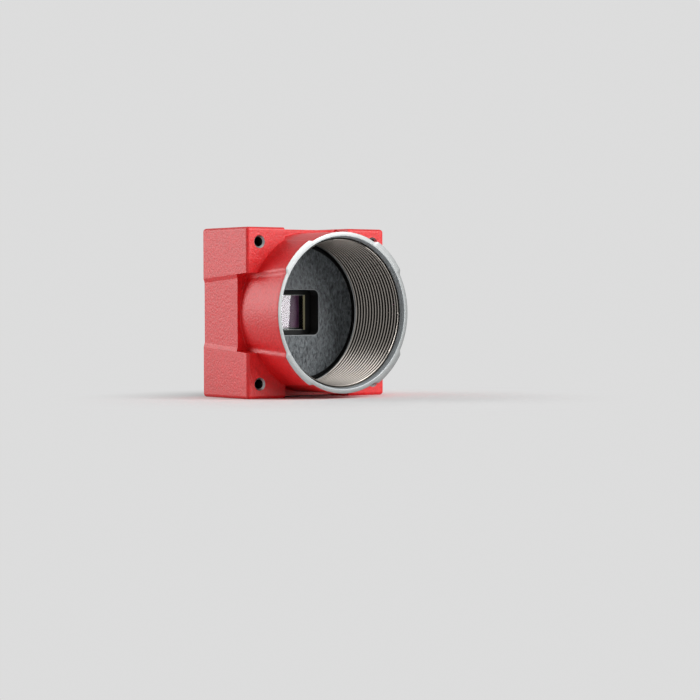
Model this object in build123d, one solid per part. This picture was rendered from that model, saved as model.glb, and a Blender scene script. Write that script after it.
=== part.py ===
from build123d import *
import os
from math import sqrt, tan, radians

# Compact C-mount machine vision camera, in millimetres.
# The origin is the centre of the lens flange, the machined rim of the barrel.
# Y runs back along the optical axis, X to the right seen from the front, and Z up.
# A depth is a distance behind the flange, so it is also a Y value.

# Lens mount, 1 inch across with 32 turns to the inch
thread_radius = 12.70
thread_end = 12.4
seat_radius = 12.35
plate_front = 13.0
flange_to_sensor = 17.526

# Barrel
rim_radius = 13.68
sector_radius = 14.14
barrel_length = 7.75
barrel_root = 0.70

# Die-cast body
body_width = 29.0
body_depth = 13.8
body_edge_radius = 0.35
body_rim_chamfer = 0.25
band_depth = 0.22
band_rear_half_width = 5.15
band_flare = 0.07
band_flank_angle = 18.7
pocket_depth = 3.3
side_wall = 2.4

# Tapped holes in the front face
front_hole_inset = 2.5
front_hole_radius = 0.80
front_hole_depth = 4.0
front_hole_chamfer = 0.30

# Aperture plate and the inner wall that carries it
plate_gap = 0.92
plate_thickness = 1.6
plate_boss_width = 12.0
plate_boss_height = 11.6
plate_boss_length = 0.6
window_width = 8.2
window_height = 7.8
window_corner = 1.0
inner_wall = 1.2
boss_clearance = 0.02

# Image sensor
seal_thickness = 0.9
seal_overlap = 0.4
seal_border = 1.1
glass_thickness = 0.7
glass_width = 11.6
glass_height = 10.6
package_width = 13.2
package_height = 12.2
package_thickness = 1.80
die_width = 7.5
die_height = 6.2
die_rise = 0.23
die_thickness = 0.5
die_gap = 0.10
pad_ledge_width = 0.95
pad_ledge_rise = 0.08
pad_length = 0.55
pad_width = 0.28
pad_thickness = 0.05
pad_pitch = 0.56
pad_count = 10

# Circuit boards and the screws that hold them
thread_play = 0.03
screw_clearance = 0.15
board_thickness = 0.8
board_clearance = 0.30
board_stack_gap = 1.5
board_screw_inset = 3.9
board_screw_radius = 0.60
board_screw_head_radius = 1.35
board_screw_head_height = 0.6
board_screw_engagement = 2.2
pillar_width = 2.8
spacer_across_flats = 2.5
header_screw_gap = 2.7
header_width = 3.4
header_height = 0.75
header_gap = 0.9
header_end = 0.9
tongue_width = 1.2
tongue_height = 0.5
tongue_play = 0.15
capacitor_length = 1.0
capacitor_width = 0.5
capacitor_height = 0.5
processor_height = 1.1
processor_usb_gap = 1.1
processor_io_gap = 1.5
memory_width = 6.0
memory_height = 4.0
memory_thickness = 0.9
inductor_width = 2.5
inductor_height = 1.0
crystal_width = 2.5
crystal_height = 1.6
crystal_thickness = 0.6

# Rear cover
cover_flange = 1.2
cover_border = 1.4
cover_play = 0.10
cover_corner = 1.2
cover_screw_inset = 3.4
cover_screw_radius = 0.70
cover_screw_length = 4.0
cover_screw_head_radius = 1.5
column_size = 3.0
gasket_thickness = 0.30
gasket_width = 0.75
hump_step = 1.2
hump_corner_cut = 3.9
hump_height = 3.1
hump_wall = 1.0
hump_edge = 0.40

# Sockets, lamp and lock-screw holes in the rear cover
socket_recess = 0.20
socket_play = 0.20
usb_inset = 5.9
usb_width = 12.3
usb_height = 2.4
usb_step_width = 4.3
usb_step_height = 0.5
usb_length = 4.8
usb_sheet = 0.25
usb_tongue_height = 0.7
usb_tongue_length = 3.4
usb_base_length = 1.0
contact_width = 0.30
contact_thickness = 0.10
contact_pitch = 0.65
contact_count = 5
lock_screw_gap = 3.1
lock_screw_radius = 0.80
lock_boss_width = 3.2
lock_boss_height = 1.4
io_inset = 2.6
io_width = 10.0
io_height = 3.4
io_wall = 0.45
io_floor = 0.8
io_pin_pitch = 1.0
io_pin_count = 8
io_pin_width = 0.40
io_pin_play = 0.03
io_pin_length = 1.5
lamp_inset = 1.9
lamp_play = 0.03
light_pipe_width = 1.0
light_pipe_height = 2.0
lamp_width = 1.6
lamp_height = 0.6
lamp_gap = 0.05
lamp_proud = 0.10

# Depths and places that follow from the sizes above
body_front = barrel_length
body_rear = barrel_length + body_depth
pocket_floor = body_front + pocket_depth
body_half = body_width / 2
flank_slope = tan(radians(band_flank_angle))
wall_front = plate_front + plate_thickness
wall_rear = wall_front + inner_wall
boss_rear = wall_front + plate_boss_length
glass_front = boss_rear + seal_thickness
package_front = glass_front + glass_thickness
package_rear = package_front + package_thickness
die_rear = flange_to_sensor + die_thickness
pad_ledge = flange_to_sensor - pad_ledge_rise
sensor_board_rear = package_rear + board_thickness
main_board_front = sensor_board_rear + board_stack_gap
main_board_rear = main_board_front + board_thickness
cover_seat = body_rear - cover_flange
gasket_seat = cover_seat - gasket_thickness
cover_face = body_rear + hump_height
hump_ceiling = cover_face - hump_wall
socket_face = cover_face - socket_recess
cavity_width = body_width - 2 * side_wall
cover_opening = body_width - 2 * cover_border
cover_width = cover_opening - 2 * cover_play
cover_screw_pitch = body_width - 2 * cover_screw_inset
front_hole_pitch = body_width - 2 * front_hole_inset
plate_radius = seat_radius - plate_gap
hump_width = cover_width - 2 * hump_step
hump_inner_width = hump_width - 2 * hump_wall
hump_inner_cut = hump_corner_cut - hump_wall * (2 - sqrt(2))
sensor_board_width = cavity_width - 2 * board_clearance
main_board_width = hump_inner_width - 2 * board_clearance
main_board_cut = hump_inner_cut - board_clearance * (2 - sqrt(2))
board_screw_pitch = sensor_board_width - 2 * board_screw_inset
usb_drop = main_board_width / 2 - usb_inset
lock_screw_pitch = usb_width + 2 * lock_screw_gap
io_rise = main_board_width / 2 - io_inset
lamp_offset = main_board_width / 2 - lamp_inset
header_length = board_screw_pitch - 2 * header_screw_gap
header_drop = usb_drop + usb_height / 2 + header_gap + header_width / 2
tongue_length = header_length - 2 * header_end
processor_bottom = -usb_drop + usb_height / 2 + processor_usb_gap
processor_top = io_rise - io_height / 2 - processor_io_gap
processor_width = processor_top - processor_bottom
processor_rise = (processor_top + processor_bottom) / 2
usb_back = socket_face - usb_length


def solid_between(sketch, front, back):
    """Extrude a sketch, drawn with X across and Z up, from one depth to another."""
    return extrude(Plane.XZ.offset(-front) * sketch, amount=front - back)


def turned(*corners):
    """Revolve an outline of (radius, depth) corners about the optical axis."""
    return revolve(make_face(Polyline(*corners, close=True)), Axis.Y)


def four_ways(shape):
    """Copies of a shape at the left, right, top and bottom of the optical axis."""
    return [Rot(0, quarter * 90, 0) * shape for quarter in range(4)]


def square_of(pitch):
    """The four (X, Z) corners of a square pattern."""
    return [(x * pitch / 2, z * pitch / 2) for x in (-1, 1) for z in (-1, 1)]


def rod(radius, spot, front, back):
    return Pos(spot[0], 0, spot[1]) * solid_between(Circle(radius), front, back)


def box(width, height, spot, front, back):
    """A block centred on an (X, Z) spot between two depths."""
    return Pos(spot[0], 0, spot[1]) * solid_between(Rectangle(width, height), front, back)


def cut_corner_square(width, cut):
    """A square outline with its four corners cut off."""
    return chamfer(Rectangle(width, width).vertices(), cut)


def band_half_width(depth):
    """Half the width of a side band's floor, which widens towards the lens."""
    return band_rear_half_width + band_flare * (body_rear - depth)


def flared_wedge(floor_at, outside, front, back):
    """The space over a side band: a sloped flank on each side and a floor at floor_at(depth)."""
    ends = []
    for depth in (front, back):
        floor, half = floor_at(depth), band_half_width(depth)
        wide = half + (outside - floor) / flank_slope
        corners = [(floor, half), (outside, wide), (outside, -wide), (floor, -half)]
        ends.append([(x, depth, z) for x, z in corners])
    near, far = ends
    sides = [(near[i - 1], near[i], far[i], far[i - 1]) for i in range(4)]
    return Solid(Shell([Face(Wire.make_polygon(ring)) for ring in (near, far, *sides)]))


def barrel():
    """The barrel tube with four raised sectors between the bands."""
    inside = pocket_floor + inner_wall
    core = turned((0, 0), (rim_radius, 0), (rim_radius, inside), (0, inside))
    ring = turned(
        (thread_radius, 0),
        (sector_radius, 0),
        (sector_radius, body_front - barrel_root),
        (sector_radius + barrel_root, body_front),
        (sector_radius, body_front),
        (sector_radius, inside),
        (thread_radius, inside),
    )

    def on_rim(depth):
        return sqrt(rim_radius**2 - band_half_width(depth) ** 2)

    gap = flared_wedge(on_rim, body_half + body_width, -1, inside + 1)
    for space in four_ways(gap):
        ring -= space
    return core + ring


def casting_block():
    """The square body with a recessed band and a pocket in the middle of each side."""
    block = solid_between(Rectangle(body_width, body_width), body_front, body_rear)
    block = fillet(block.edges().filter_by(Axis.Y), body_edge_radius)
    block = chamfer(block.faces().sort_by(Axis.Y)[0].edges(), body_rim_chamfer)
    band = flared_wedge(
        lambda depth: body_half - band_depth, body_half + 1, body_front - 1, body_rear + 1
    )
    flank_run = band_depth / flank_slope
    pocket_outline = Polyline(
        (body_front - 1, band_half_width(body_front - 1) + flank_run),
        (pocket_floor, band_half_width(pocket_floor) + flank_run),
        (pocket_floor, -band_half_width(pocket_floor) - flank_run),
        (body_front - 1, -band_half_width(body_front - 1) - flank_run),
        close=True,
    )
    pocket = extrude(Plane.YZ * make_face(pocket_outline), amount=body_width)
    for side in four_ways(band) + four_ways(pocket):
        block -= side
    return block


def lens_bore():
    """What the lens thread and the plate's seat behind it take out."""
    bore = rod(thread_radius, (0, 0), 0, thread_end)
    bore += rod(seat_radius, (0, 0), thread_end, wall_front)
    seat = (plate_boss_width + 2 * boss_clearance, plate_boss_height + 2 * boss_clearance)
    return bore + box(*seat, (0, 0), wall_front, wall_rear)


def front_housing():
    housing = casting_block() + barrel()
    housing -= lens_bore()
    cavity = solid_between(Rectangle(cavity_width, cavity_width), wall_rear, body_rear)
    for x, z in square_of(cavity_width - column_size):
        cavity -= box(column_size, column_size, (x, z), wall_rear, cover_seat)
    for spot in board_screw_spots():
        pillar = box(pillar_width, pillar_width, spot, wall_rear, package_rear)
        tap = rod(board_screw_radius, spot, package_rear - board_screw_engagement, package_rear)
        cavity -= pillar - tap
    housing -= cavity
    seat = fillet(Rectangle(cover_opening, cover_opening).vertices(), cover_corner)
    housing -= solid_between(seat, cover_seat, body_rear)
    gasket_outer = cavity_width + 2 * gasket_width
    ledge = Rectangle(gasket_outer, gasket_outer) - Rectangle(cavity_width, cavity_width)
    housing -= solid_between(ledge, gasket_seat, cover_seat)
    for x, z in square_of(front_hole_pitch):
        housing -= rod(front_hole_radius, (x, z), body_front, body_front + front_hole_depth)
        countersink = turned(
            (0, body_front),
            (front_hole_radius + front_hole_chamfer, body_front),
            (front_hole_radius, body_front + front_hole_chamfer),
            (0, body_front + front_hole_chamfer),
        )
        housing -= Pos(x, 0, z) * countersink
    for spot in square_of(cover_screw_pitch):
        housing -= rod(cover_screw_radius, spot, body_rear - cover_screw_length, cover_seat)
    return housing


def aperture_plate():
    plate = rod(plate_radius, (0, 0), plate_front, wall_front)
    plate += box(plate_boss_width, plate_boss_height, (0, 0), wall_front, boss_rear)
    outline = fillet(Rectangle(window_width, window_height).vertices(), window_corner)
    return plate - solid_between(outline, plate_front, boss_rear)


def sensor_seal():
    inner_width = window_width + 2 * seal_overlap
    inner_height = window_height + 2 * seal_overlap
    frame = Rectangle(inner_width + 2 * seal_border, inner_height + 2 * seal_border)
    frame -= Rectangle(inner_width, inner_height)
    return solid_between(frame, boss_rear, glass_front)


def sensor_lid_glass():
    return box(glass_width, glass_height, (0, 0), glass_front, package_front)


def sensor_package():
    package = box(package_width, package_height, (0, 0), package_front, package_rear)
    well_width = die_width + 2 * die_gap
    well_height = die_height + 2 * die_gap
    upper = Pos(0, die_rise) * Rectangle(well_width + 2 * pad_ledge_width, well_height)
    lower = Pos(0, die_rise) * Rectangle(well_width, well_height)
    package -= solid_between(upper, package_front, pad_ledge)
    package -= solid_between(lower, pad_ledge, die_rear)
    return package


def sensor_die():
    return box(die_width, die_height, (0, die_rise), flange_to_sensor, die_rear)


def bond_pads():
    reach = die_width / 2 + die_gap + pad_ledge_width / 2
    pads = []
    for side in (-1, 1):
        for step in range(pad_count):
            spot = (side * reach, die_rise + (step - (pad_count - 1) / 2) * pad_pitch)
            pads.append(box(pad_length, pad_width, spot, pad_ledge - pad_thickness, pad_ledge))
    return Compound(pads)


def board_screw_spots():
    """Two opposite corners of the boards."""
    reach = board_screw_pitch / 2
    return [(-reach, -reach), (reach, reach)]


def screw_through_board(board, front, back):
    for spot in board_screw_spots():
        board -= rod(board_screw_radius + screw_clearance, spot, front, back)
    return board


def sensor_board():
    board = box(sensor_board_width, sensor_board_width, (0, 0), package_rear, sensor_board_rear)
    notch = column_size + 2 * board_clearance
    for spot in square_of(cavity_width - column_size):
        board -= box(notch, notch, spot, package_rear, sensor_board_rear)
    return screw_through_board(board, package_rear, sensor_board_rear)


def capacitors(spots, front, back):
    return Compound([box(capacitor_length, capacitor_width, spot, front, back) for spot in spots])


def sensor_board_capacitors():
    steps = (-1, 0, 1)
    spots = [(x * 2 * capacitor_length, z * 2 * capacitor_length) for x in steps for z in steps]
    return capacitors(spots, sensor_board_rear, sensor_board_rear + capacitor_height)


def board_header():
    """The plug on the sensor board, whose tongue enters the socket on the main board."""
    spot = (0, -header_drop)
    top = sensor_board_rear + header_height
    base = box(header_length, header_width, spot, sensor_board_rear, top)
    return base + box(tongue_length, tongue_width, spot, top, top + tongue_height)


def board_socket():
    spot = (0, -header_drop)
    front = sensor_board_rear + header_height
    body = box(header_length, header_width, spot, front, main_board_front)
    slot_length = tongue_length + 2 * tongue_play
    slot_width = tongue_width + 2 * tongue_play
    return body - box(slot_length, slot_width, spot, front, front + tongue_height + tongue_play)


def board_spacers():
    outline = RegularPolygon(spacer_across_flats / 2, 6, major_radius=False)
    outline -= Circle(board_screw_radius + screw_clearance)
    spacer = solid_between(outline, sensor_board_rear, main_board_front)
    return Compound([Pos(x, 0, z) * spacer for x, z in board_screw_spots()])


def board_screws():
    tip = package_rear - board_screw_engagement + thread_play
    head_top = main_board_rear + board_screw_head_height
    screws = []
    for spot in board_screw_spots():
        shank = rod(board_screw_radius - thread_play, spot, tip, main_board_rear)
        screws.append(shank + rod(board_screw_head_radius, spot, main_board_rear, head_top))
    return Compound(screws)


def main_board():
    outline = cut_corner_square(main_board_width, main_board_cut)
    board = solid_between(outline, main_board_front, main_board_rear)
    board = screw_through_board(board, main_board_front, main_board_rear)
    slot = (usb_width + 2 * socket_play, usb_height + 2 * socket_play)
    return board - box(*slot, (0, -usb_drop), main_board_front, main_board_rear)


def processor():
    back = main_board_rear + processor_height
    return box(processor_width, processor_width, (0, processor_rise), main_board_rear, back)


def thermal_pad():
    front = main_board_rear + processor_height
    return box(processor_width, processor_width, (0, processor_rise), front, hump_ceiling)


def memory_chip():
    front = main_board_front - memory_thickness
    return box(memory_width, memory_height, (0, processor_rise), front, main_board_front)


def power_inductors():
    coils = []
    for side in (-1, 1):
        spot = (side * (processor_width / 2 + inductor_width), processor_rise + processor_width / 2)
        back = main_board_rear + inductor_height
        body = box(inductor_width, inductor_width, spot, main_board_rear, back)
        coils.append(chamfer(body.edges().filter_by(Axis.Y), inductor_width / 8))
    return Compound(coils)


def main_board_capacitors():
    reach = processor_width / 2 + capacitor_length
    spots = []
    for side in (-1, 1):
        for step in (-2, -1, 0, 1):
            spots.append((side * reach, processor_rise + step * 2 * capacitor_width))
    return capacitors(spots, main_board_rear, main_board_rear + capacitor_height)


def clock_crystal():
    spot = (memory_width / 2 + crystal_width, processor_rise)
    front = main_board_front - crystal_thickness
    return box(crystal_width, crystal_height, spot, front, main_board_front)


def status_led():
    back = main_board_rear + lamp_height
    return box(lamp_width, lamp_width, (lamp_offset, 0), main_board_rear, back)


def light_pipe():
    front = main_board_rear + lamp_height + lamp_gap
    spot = (lamp_offset, 0)
    return box(light_pipe_width, light_pipe_height, spot, front, cover_face + lamp_proud)


def usb_outline(margin=0.0):
    """The stepped outline of a USB 3 Micro-B socket, grown or shrunk by a margin."""
    half, top, bottom = usb_width / 2, usb_height / 2, -usb_height / 2
    notch = bottom + usb_step_height
    outline = Polyline(
        (-half, top),
        (half, top),
        (half, bottom),
        (half - usb_step_width, bottom),
        (half - usb_step_width - usb_step_height, notch),
        (half - usb_step_width - 2 * usb_step_height, bottom),
        (-half + usb_step_height, bottom),
        (-half, notch),
        close=True,
    )
    face = make_face(outline)
    if margin:
        face = offset(face, margin, kind=Kind.INTERSECTION)
    return Pos(0, -usb_drop) * face


def usb_shell():
    sheet = usb_outline() - usb_outline(-usb_sheet)
    return solid_between(sheet, usb_back, socket_face)


def usb_tongue_spots():
    """Middle and width of the two tongues: the USB 2 one and the one that USB 3 added."""
    split = usb_width / 2 - usb_step_width - usb_step_height
    left = -usb_width / 2 + usb_step_height
    wide = split - usb_step_height - left
    narrow = usb_step_width - 2 * usb_step_height
    middle = (left + split - usb_step_height) / 2
    return [(middle, wide), (usb_width / 2 - usb_step_width / 2, narrow)]


def usb_insulator():
    base = solid_between(usb_outline(-usb_sheet), usb_back, usb_back + usb_base_length)
    tip = usb_back + usb_base_length + usb_tongue_length
    for x, width in usb_tongue_spots():
        tongue_width_here = width - 2 * usb_sheet
        base += box(tongue_width_here, usb_tongue_height, (x, -usb_drop), usb_back, tip - usb_sheet)
    return base


def usb_contacts():
    strips = []
    front = usb_back + usb_base_length
    height = -usb_drop + usb_tongue_height / 2 + contact_thickness / 2
    for x, width in usb_tongue_spots():
        pitch = min(contact_pitch, (width - 2 * usb_sheet) / contact_count)
        for step in range(contact_count):
            spot = (x + (step - (contact_count - 1) / 2) * pitch, height)
            back = front + usb_tongue_length - 2 * usb_sheet
            strips.append(box(contact_width, contact_thickness, spot, front, back))
    return Compound(strips)


def io_shroud():
    body = box(io_width, io_height, (0, io_rise), main_board_rear, socket_face)
    inner = (io_width - 2 * io_wall, io_height - 2 * io_wall)
    body -= box(*inner, (0, io_rise), main_board_rear + io_floor, socket_face)
    for spot in io_pin_spots():
        hole = io_pin_width + 2 * io_pin_play
        body -= box(hole, hole, spot, main_board_rear, main_board_rear + io_floor)
    return body


def io_pin_spots():
    middle = (io_pin_count - 1) / 2
    return [((step - middle) * io_pin_pitch, io_rise) for step in range(io_pin_count)]


def io_pins():
    tip = main_board_rear + io_floor + io_pin_length
    width = io_pin_width
    return Compound([box(width, width, spot, main_board_rear, tip) for spot in io_pin_spots()])


def rear_gasket():
    outer = cavity_width + 2 * gasket_width
    frame = Rectangle(outer, outer) - Rectangle(cavity_width, cavity_width)
    return solid_between(frame, gasket_seat, cover_seat)


def cover_screw_recess(spot):
    """The countersink of one cover screw, which goes right through the flange."""
    cone = turned(
        (0, body_rear),
        (cover_screw_head_radius + thread_play, body_rear),
        (cover_screw_radius + screw_clearance, cover_seat),
        (0, cover_seat),
    )
    return Pos(spot[0], 0, spot[1]) * cone


def rear_cover():
    outline = fillet(Rectangle(cover_width, cover_width).vertices(), cover_corner - cover_play)
    cover = solid_between(outline, cover_seat, body_rear)
    hump = solid_between(cut_corner_square(hump_width, hump_corner_cut), cover_seat, cover_face)
    cover += chamfer(hump.faces().sort_by(Axis.Y)[-1].edges(), hump_edge)
    inner = cut_corner_square(hump_inner_width, hump_inner_cut)
    cover -= solid_between(inner, cover_seat, hump_ceiling)
    for spot in square_of(cover_screw_pitch):
        cover -= cover_screw_recess(spot)
    cover -= solid_between(usb_outline(socket_play), hump_ceiling, cover_face)
    io_size = (io_width + 2 * socket_play, io_height + 2 * socket_play)
    cover -= box(*io_size, (0, io_rise), hump_ceiling, cover_face)
    lamp_size = (light_pipe_width + 2 * lamp_play, light_pipe_height + 2 * lamp_play)
    cover -= box(*lamp_size, (lamp_offset, 0), hump_ceiling, cover_face)
    for side in (-1, 1):
        spot = (side * lock_screw_pitch / 2, -usb_drop)
        boss_front = hump_ceiling - lock_boss_height
        cover += box(lock_boss_width, lock_boss_width, spot, boss_front, hump_ceiling)
        cover -= rod(lock_screw_radius, spot, boss_front, cover_face)
    return cover


def rear_cover_screws():
    screws = []
    for x, z in square_of(cover_screw_pitch):
        shank = cover_screw_radius - thread_play
        screw = turned(
            (0, body_rear),
            (cover_screw_head_radius, body_rear),
            (shank, cover_seat),
            (shank, body_rear - cover_screw_length + thread_play),
            (0, body_rear - cover_screw_length + thread_play),
        )
        screws.append(Pos(x, 0, z) * screw)
    return Compound(screws)


pieces = [
    front_housing,
    aperture_plate,
    sensor_seal,
    sensor_lid_glass,
    sensor_package,
    sensor_die,
    bond_pads,
    sensor_board,
    sensor_board_capacitors,
    board_header,
    board_socket,
    board_spacers,
    board_screws,
    main_board,
    processor,
    thermal_pad,
    memory_chip,
    power_inductors,
    main_board_capacitors,
    clock_crystal,
    status_led,
    light_pipe,
    usb_shell,
    usb_insulator,
    usb_contacts,
    io_shroud,
    io_pins,
    rear_gasket,
    rear_cover,
    rear_cover_screws,
]

os.makedirs("parts", exist_ok=True)
for piece in pieces:
    export_step(piece(), f"parts/{piece.__name__}.step")
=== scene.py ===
import math

import bpy
from mathutils import Matrix, Vector


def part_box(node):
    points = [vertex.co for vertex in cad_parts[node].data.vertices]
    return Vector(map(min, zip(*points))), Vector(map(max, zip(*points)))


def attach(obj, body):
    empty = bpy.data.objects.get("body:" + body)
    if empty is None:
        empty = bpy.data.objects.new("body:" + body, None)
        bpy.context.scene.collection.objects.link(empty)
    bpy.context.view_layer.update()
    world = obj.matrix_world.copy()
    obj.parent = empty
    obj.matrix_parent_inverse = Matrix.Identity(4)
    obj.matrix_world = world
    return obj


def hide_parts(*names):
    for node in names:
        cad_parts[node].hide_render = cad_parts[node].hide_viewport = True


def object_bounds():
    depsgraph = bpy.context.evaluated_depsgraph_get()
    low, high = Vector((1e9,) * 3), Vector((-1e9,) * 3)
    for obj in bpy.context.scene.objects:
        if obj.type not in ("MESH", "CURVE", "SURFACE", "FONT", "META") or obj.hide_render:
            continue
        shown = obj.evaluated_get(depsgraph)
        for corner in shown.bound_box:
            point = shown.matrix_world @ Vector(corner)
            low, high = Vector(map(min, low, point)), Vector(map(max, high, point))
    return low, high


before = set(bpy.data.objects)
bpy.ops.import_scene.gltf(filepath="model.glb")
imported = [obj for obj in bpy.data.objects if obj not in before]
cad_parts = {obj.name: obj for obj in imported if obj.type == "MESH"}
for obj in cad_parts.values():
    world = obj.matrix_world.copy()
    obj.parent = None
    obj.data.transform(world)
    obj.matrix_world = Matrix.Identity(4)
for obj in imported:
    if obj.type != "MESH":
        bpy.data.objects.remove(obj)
cad_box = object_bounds()
low, high = cad_box
bpy.ops.object.select_all(action="DESELECT")


# Viewpoint: a long lens set low at the left front of the camera body, as in the photograph.
# Its place and turn are fitted to the body's outline, from the centre of the lens flange.
viewpoint = Vector((-0.21569, -0.28756, 0.00199))
yaw, pitch, roll = (math.radians(degrees) for degrees in (-37.023, 1.321, -0.132))
bpy.ops.object.camera_add(location=viewpoint)
viewer = bpy.context.object
viewer.name = "studio_viewer"
viewer.data.lens = 109.5
viewer.data.sensor_width = 36.0
viewer.data.clip_start, viewer.data.clip_end = 0.01, 10.0
backward = Vector((math.sin(yaw) * math.cos(pitch), -math.cos(yaw) * math.cos(pitch), math.sin(pitch)))
level = Vector((math.cos(yaw), math.sin(yaw), 0))
upright = backward.cross(level)
rightward = level * math.cos(roll) + upright * math.sin(roll)
upward = upright * math.cos(roll) - level * math.sin(roll)
viewer.rotation_mode = "QUATERNION"
viewer.rotation_quaternion = Matrix((rightward, upward, backward)).transposed().to_quaternion()
bpy.context.scene.camera = viewer
bpy.context.scene.view_settings.view_transform = "Standard"


# Stage: a pale sheet of paper that the camera body stands on, and pale air around it.
# Seen directly, in gloss or through glass they are pale; near the body the paper keeps its shadow.
bpy.ops.mesh.primitive_plane_add(size=8.0, location=(0, 0, low.z))
floor = bpy.context.object
floor.name = "studio_floor"


def new_material(name):
    """A node material, with its Principled shader."""
    material = bpy.data.materials.new(name)
    material.use_nodes = True
    return material, material.node_tree, material.node_tree.nodes["Principled BSDF"]


def seen_as_white(tree):
    """1 for rays that show the background: camera, glossy and transmission rays."""
    ray = tree.nodes.new("ShaderNodeLightPath")
    either = tree.nodes.new("ShaderNodeMath")
    either.operation = "MAXIMUM"
    anyone = tree.nodes.new("ShaderNodeMath")
    anyone.operation = "MAXIMUM"
    tree.links.new(ray.outputs["Is Camera Ray"], either.inputs[0])
    tree.links.new(ray.outputs["Is Glossy Ray"], either.inputs[1])
    tree.links.new(either.outputs[0], anyone.inputs[0])
    tree.links.new(ray.outputs["Is Transmission Ray"], anyone.inputs[1])
    return anyone.outputs[0]


pale_strength = 0.72
shadow_reach, pale_reach = 0.014, 0.05
paper, tree, shader = new_material("pale_paper")
shader.inputs["Base Color"].default_value = (0.88, 0.88, 0.88, 1)
shader.inputs["Roughness"].default_value = 0.7
place = tree.nodes.new("ShaderNodeTexCoord")
reach = tree.nodes.new("ShaderNodeVectorMath")
reach.operation = "LENGTH"
fade = tree.nodes.new("ShaderNodeMapRange")
fade.interpolation_type = "SMOOTHSTEP"
fade.inputs["From Min"].default_value = shadow_reach
fade.inputs["From Max"].default_value = pale_reach
share = tree.nodes.new("ShaderNodeMath")
share.operation = "MULTIPLY"
glow = tree.nodes.new("ShaderNodeEmission")
glow.inputs["Strength"].default_value = pale_strength
blend = tree.nodes.new("ShaderNodeMixShader")
tree.links.new(place.outputs["Object"], reach.inputs[0])
tree.links.new(reach.outputs["Value"], fade.inputs["Value"])
tree.links.new(fade.outputs["Result"], share.inputs[0])
tree.links.new(seen_as_white(tree), share.inputs[1])
tree.links.new(share.outputs[0], blend.inputs["Fac"])
tree.links.new(shader.outputs["BSDF"], blend.inputs[1])
tree.links.new(glow.outputs["Emission"], blend.inputs[2])
tree.links.new(blend.outputs["Shader"], tree.nodes["Material Output"].inputs["Surface"])
floor.data.materials.append(paper)

world = bpy.data.worlds.new("studio_air")
bpy.context.scene.world = world
world.use_nodes = True
air = world.node_tree
air.nodes.clear()
ambient = air.nodes.new("ShaderNodeBackground")
ambient.inputs["Strength"].default_value = 0.15
white = air.nodes.new("ShaderNodeBackground")
white.inputs["Strength"].default_value = pale_strength
for light in (ambient, white):
    light.inputs["Color"].default_value = (1, 1, 1, 1)
choice = air.nodes.new("ShaderNodeMixShader")
sky = air.nodes.new("ShaderNodeOutputWorld")
air.links.new(seen_as_white(air), choice.inputs["Fac"])
air.links.new(ambient.outputs["Background"], choice.inputs[1])
air.links.new(white.outputs["Background"], choice.inputs[2])
air.links.new(choice.outputs["Shader"], sky.inputs["Surface"])


def softbox(name, place, width, height, watts):
    """An area lamp that looks at the middle of the camera body."""
    bpy.ops.object.light_add(type="AREA", location=place)
    lamp = bpy.context.object
    lamp.name = name
    lamp.data.shape = "RECTANGLE"
    lamp.data.size, lamp.data.size_y = width, height
    lamp.data.energy = watts
    lamp.rotation_mode = "QUATERNION"
    lamp.rotation_quaternion = (Vector(place) - (low + high) / 2).to_track_quat("Z", "Y")


softbox("left_rear_lamp", (-0.40, 0.43, 0.15), 0.36, 0.34, 1.85)
softbox("right_front_lamp", (0.2741, -0.5021, 0.235), 0.18, 0.53, 2.0)
softbox("high_front_lamp", (0.30, -0.45, 0.32), 0.28, 0.24, 1.0)
softbox("top_lamp", (0.0, -0.40, 0.50), 0.44, 0.28, 1.1)


# Front housing: one zinc die casting of body, lens barrel, inner wall, columns and pillars.
# It is powder coated red; then the rim, the lens thread and the screw holes are machined bare.
# Lengths are in millimetres from here on, and settle() brings each finished piece to metres.
# Cutting tools reach past the faces that they cut, and faces and edges are picked within a hair's width.
mm = 0.001
past, hair, facing = 1, 0.01, 0.99
body_half = high.x / mm
body_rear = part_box("front_housing")[1].y / mm
body_depth = 13.8
body_front = body_rear - body_depth
band_depth, band_rear_half, band_flare = 0.22, 5.15, 0.07
flank_rise = math.tan(math.radians(18.7))
flank_run = band_depth / flank_rise
pocket_floor = body_front + 3.3
rim_radius, sector_radius = 13.68, 14.14
mouth_radius, relief_radius, thread_radius, crest_radius = 12.94, 12.70, 12.68, 12.28
thread_pitch = 25.4 / 32
thread_start, thread_finish = 0.98, 13.02
crest_corner, groove_corner = 12.36, 12.62
land_radius, land_rear, land_step = 12.33, 13.75, 0.34
wall_front, wall_rear = 14.6, 15.8
body_rounding, flank_rounding, pocket_rounding = 0.55, 0.10, 0.15
pocket_inner, barrel_socket_radius = 10.5, 13.2
side_wall, column_size, cover_seat = 2.4, 3.0, body_rear - 1.2
cover_border, cover_corner = 1.4, 1.2
plate_boss_width, plate_boss_height, boss_play = 12.0, 11.6, 0.02
short_cut = 3


def pick(piece, test, kind="faces"):
    """Go into edit mode with only the faces (by middle and normal) or edges (by ends) that pass."""
    bpy.ops.object.mode_set(mode="OBJECT")
    bpy.ops.object.select_all(action="DESELECT")
    piece.select_set(True)
    bpy.context.view_layer.objects.active = piece
    mesh = piece.data
    for group in (mesh.vertices, mesh.edges, mesh.polygons):
        group.foreach_set("select", [False] * len(group))
    if kind == "faces":
        for face in mesh.polygons:
            face.select = test(face.center, face.normal)
    else:
        for edge in mesh.edges:
            edge.select = test(*[mesh.vertices[index].co for index in edge.vertices])
    bpy.ops.object.mode_set(mode="EDIT")
    bpy.ops.mesh.select_mode(type="FACE" if kind == "faces" else "EDGE")


def finish_edit():
    bpy.ops.object.mode_set(mode="OBJECT")


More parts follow.
